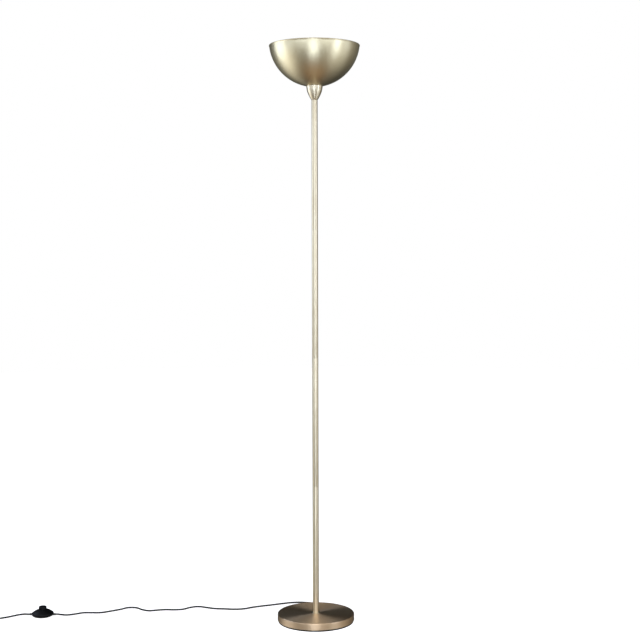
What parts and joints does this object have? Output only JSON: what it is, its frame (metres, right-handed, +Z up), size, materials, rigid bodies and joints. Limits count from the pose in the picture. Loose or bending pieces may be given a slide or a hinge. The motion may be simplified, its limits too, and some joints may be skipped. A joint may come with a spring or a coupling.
{
  "type": "torchiere floor lamp",
  "caption": "Torchiere floor lamp: spun brass-finish bowl on a slim sectioned pole, round weighted base, floor switch and plug on a coiled lead.",
  "frame": {"origin": "on the floor, on the axis of the pole and base", "axes": "+Z up along the pole; the lead leaves the base at +Y and runs to the switch at -X"},
  "size_m": [1.2344, 0.3372, 1.7773],
  "materials": {
    "satin_brass": "satin antique brass plating, brushed around the axis",
    "zinc_steel": "bright zinc plated",
    "cast_iron": "rough casting",
    "black_rubber": "matt",
    "switch_plastic": "fine moulded texture",
    "plug_plastic": "fine moulded texture",
    "flex_pvc": "smooth PVC sheath",
    "holder_plastic": "smooth thermoset",
    "holder_core": "matt",
    "contact_brass": "bare brass",
    "opal_glass": "opal, satin",
    "bulb_inner": "matt",
    "bulb_insulator": "black glass",
    "nickel": "nickel plated",
    "nylon": "natural nylon"
  },
  "bodies": {
    "root": {"bowl_shade": "satin_brass", "shade_cup": "satin_brass", "base_cover": "satin_brass", "foot_ring": "satin_brass", "pole_section_1": "satin_brass", "pole_section_2": "satin_brass", "pole_section_3": "satin_brass", "pole_section_4": "satin_brass", "head_nipple": "zinc_steel", "bowl_washer": "zinc_steel", "head_locknut": "zinc_steel", "base_stud": "zinc_steel", "base_washer": "zinc_steel", "base_lock_washer": "zinc_steel", "base_nut": "zinc_steel", "switch_return_spring": "zinc_steel", "switch_guide_plate": "zinc_steel", "switch_screw_front": "zinc_steel", "switch_screw_rear": "zinc_steel", "pole_insert_1_lower": "zinc_steel", "pole_insert_1_upper": "zinc_steel", "pole_insert_2_lower": "zinc_steel", "pole_insert_2_upper": "zinc_steel", "pole_insert_3_lower": "zinc_steel", "pole_insert_3_upper": "zinc_steel", "pole_insert_4_lower": "zinc_steel", "pole_insert_4_upper": "zinc_steel", "base_weight": "cast_iron", "base_pad": "black_rubber", "cord_gland": "black_rubber", "coil_tie": "black_rubber", "switch_relief_left": "black_rubber", "switch_relief_right": "black_rubber", "switch_base": "switch_plastic", "switch_cover": "switch_plastic", "plug_body": "plug_plastic", "inner_flex": "flex_pvc", "flex_to_switch": "flex_pvc", "flex_to_coil": "flex_pvc", "flex_coil": "flex_pvc", "flex_to_plug": "flex_pvc", "lampholder_cap": "holder_plastic", "lampholder_skirt": "holder_plastic", "lampholder_core": "holder_core", "lampholder_shell": "contact_brass", "lampholder_contact": "contact_brass", "lampholder_screw_live": "contact_brass", "lampholder_screw_neutral": "contact_brass", "switch_terminal_left": "contact_brass", "switch_terminal_right": "contact_brass", "plug_pin_left": "nickel", "plug_pin_right": "nickel"},
    "switch_button": {"switch_button": "switch_plastic"},
    "switch_rotor": {"switch_rotor": "nylon", "switch_contact_bridge": "contact_brass"},
    "bulb_seat": {"bulb_tip_contact": "nickel"},
    "bulb": {"bulb_glass": "opal_glass", "bulb_stem": "bulb_inner", "bulb_screw_cap": "nickel", "bulb_insulator": "bulb_insulator"}
  },
  "joints": [
    {"name": "switch_press", "type": "slide", "parent": "root", "child": "switch_button", "axis": [0, 0, -1], "range_m": [0, 0.004], "stiffness_N_per_m": 500, "springref_m": -0.004, "deforming": ["switch_return_spring"]},
    {"name": "switch_rotor_turn", "type": "hinge", "parent": "root", "child": "switch_rotor", "pos_m": [-0.858, 0.06, 0.006], "axis": [0, 0, 1], "range_deg": [0, 45]},
    {"name": "bulb_turn", "type": "hinge", "parent": "bulb_seat", "child": "bulb", "pos_m": [0, 0, 1.7], "axis": [0, 0, 1], "range_deg": [0, 1440]},
    {"name": "bulb_lift", "type": "slide", "parent": "root", "child": "bulb_seat", "axis": [0, 0, 1], "range_m": [0, 0.01452]}
  ],
  "couplings": [
    {"joint": "switch_rotor_turn", "follows": "switch_press", "rad_per_m": 196.35},
    {"joint": "bulb_turn", "follows": "bulb_lift", "rad_per_m": 1731.4}
  ]
}
